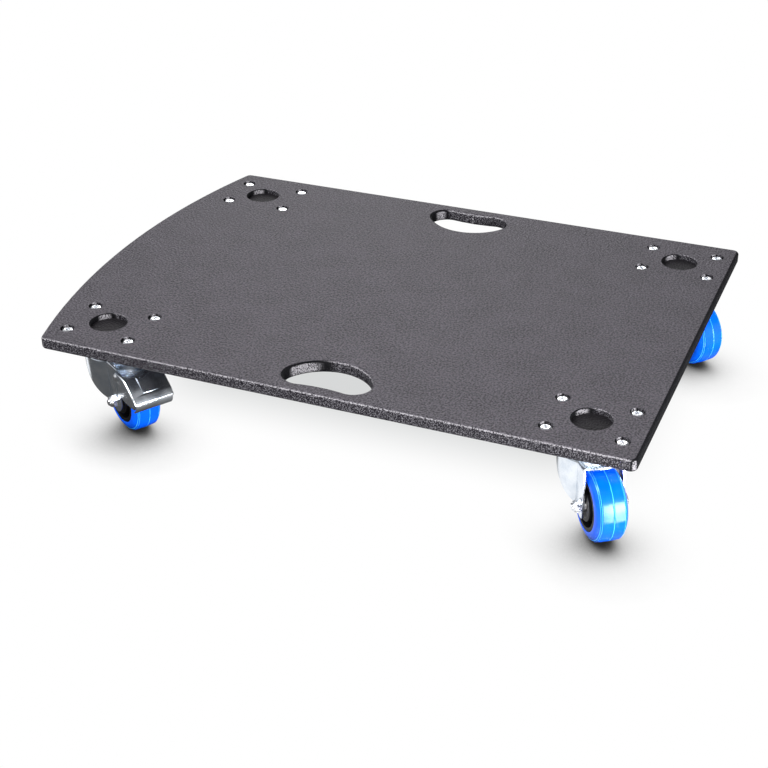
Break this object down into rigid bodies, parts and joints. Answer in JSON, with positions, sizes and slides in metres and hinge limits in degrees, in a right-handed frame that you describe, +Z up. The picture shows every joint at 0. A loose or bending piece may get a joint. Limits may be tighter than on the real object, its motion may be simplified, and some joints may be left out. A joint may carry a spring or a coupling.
{
  "type": "loudspeaker trolley",
  "caption": "Flat coated deck with a bowed end, hand slots and foot dishes, carried on swivel castors, two of them braked.",
  "frame": {"origin": "centre of the deck's top face, midway between the four castor kingpins", "axes": "+X along the deck towards its straight end, +Y across the deck towards the back, +Z up"},
  "size_m": [0.7332, 0.5287, 0.117],
  "materials": {
    "coated_wood": "matt textured black-grey coating on birch plywood",
    "pressed_zinc": "bright blue-passivated zinc on pressed sheet",
    "zinc": "bright zinc",
    "bearing_steel": "ground steel",
    "spring_steel": "dull phosphated steel",
    "rim_plastic": "black moulded nylon",
    "tyre_rubber": "glossy blue elastic rubber"
  },
  "bodies": {
    "deck": {"deck_board": "coated_wood", "deck_bolts": "zinc", "deck_washers": "zinc", "deck_nuts": "zinc", "front_left_top_plate": "pressed_zinc", "front_left_kingpin": "zinc", "front_left_race_cup": "zinc", "front_right_top_plate": "pressed_zinc", "front_right_kingpin": "zinc", "front_right_race_cup": "zinc", "back_left_top_plate": "pressed_zinc", "back_left_kingpin": "zinc", "back_left_race_cup": "zinc", "back_right_top_plate": "pressed_zinc", "back_right_kingpin": "zinc", "back_right_race_cup": "zinc"},
    "front_left_swivel": {"front_left_swivel_balls": "bearing_steel", "front_left_fork": "pressed_zinc", "front_left_axle_bolt": "zinc", "front_left_axle_nut": "zinc", "front_left_axle_sleeve": "zinc", "front_left_brake_rivets": "zinc"},
    "front_left_wheel": {"front_left_wheel_rim": "rim_plastic", "front_left_tyre": "tyre_rubber", "front_left_wheel_bearings": "bearing_steel"},
    "front_left_brake": {"front_left_brake_pedal": "pressed_zinc", "front_left_brake_leaf": "spring_steel", "front_left_brake_shoe": "spring_steel"},
    "front_right_swivel": {"front_right_swivel_balls": "bearing_steel", "front_right_fork": "pressed_zinc", "front_right_axle_bolt": "zinc", "front_right_axle_nut": "zinc", "front_right_axle_sleeve": "zinc"},
    "front_right_wheel": {"front_right_wheel_rim": "rim_plastic", "front_right_tyre": "tyre_rubber", "front_right_wheel_bearings": "bearing_steel"},
    "back_left_swivel": {"back_left_swivel_balls": "bearing_steel", "back_left_fork": "pressed_zinc", "back_left_axle_bolt": "zinc", "back_left_axle_nut": "zinc", "back_left_axle_sleeve": "zinc", "back_left_brake_rivets": "zinc"},
    "back_left_wheel": {"back_left_wheel_rim": "rim_plastic", "back_left_tyre": "tyre_rubber", "back_left_wheel_bearings": "bearing_steel"},
    "back_left_brake": {"back_left_brake_pedal": "pressed_zinc", "back_left_brake_leaf": "spring_steel", "back_left_brake_shoe": "spring_steel"},
    "back_right_swivel": {"back_right_swivel_balls": "bearing_steel", "back_right_fork": "pressed_zinc", "back_right_axle_bolt": "zinc", "back_right_axle_nut": "zinc", "back_right_axle_sleeve": "zinc"},
    "back_right_wheel": {"back_right_wheel_rim": "rim_plastic", "back_right_tyre": "tyre_rubber", "back_right_wheel_bearings": "bearing_steel"}
  },
  "joints": [
    {"name": "front_left_swivel_turn", "type": "hinge", "parent": "deck", "child": "front_left_swivel", "pos_m": [-0.2853, -0.1983, -0.015], "axis": [0, 0, 1], "continuous": true},
    {"name": "front_left_wheel_spin", "type": "hinge", "parent": "front_left_swivel", "child": "front_left_wheel", "pos_m": [-0.25138, -0.2195, -0.077], "axis": [0.5299, 0.848, 0], "continuous": true},
    {"name": "front_left_brake_press", "type": "hinge", "parent": "front_left_swivel", "child": "front_left_brake", "pos_m": [-0.24163, -0.22559, -0.041], "axis": [0.5299, 0.848, 0], "range_deg": [0, 12]},
    {"name": "front_right_swivel_turn", "type": "hinge", "parent": "deck", "child": "front_right_swivel", "pos_m": [0.2853, -0.1983, -0.015], "axis": [0, 0, 1], "continuous": true},
    {"name": "front_right_wheel_spin", "type": "hinge", "parent": "front_right_swivel", "child": "front_right_wheel", "pos_m": [0.30853, -0.23086, -0.077], "axis": [0.8141, 0.5807, 0], "continuous": true},
    {"name": "back_left_swivel_turn", "type": "hinge", "parent": "deck", "child": "back_left_swivel", "pos_m": [-0.2853, 0.1983, -0.015], "axis": [0, 0, 1], "continuous": true},
    {"name": "back_left_wheel_spin", "type": "hinge", "parent": "back_left_swivel", "child": "back_left_wheel", "pos_m": [-0.25253, 0.17536, -0.077], "axis": [0.5736, 0.8192, 0], "continuous": true},
    {"name": "back_left_brake_press", "type": "hinge", "parent": "back_left_swivel", "child": "back_left_brake", "pos_m": [-0.24311, 0.16876, -0.041], "axis": [0.5736, 0.8192, 0], "range_deg": [0, 12]},
    {"name": "back_right_swivel_turn", "type": "hinge", "parent": "deck", "child": "back_right_swivel", "pos_m": [0.2853, 0.1983, -0.015], "axis": [0, 0, 1], "continuous": true},
    {"name": "back_right_wheel_spin", "type": "hinge", "parent": "back_right_swivel", "child": "back_right_wheel", "pos_m": [0.31572, 0.17232, -0.077], "axis": [0.6494, 0.7604, 0], "continuous": true}
  ]
}
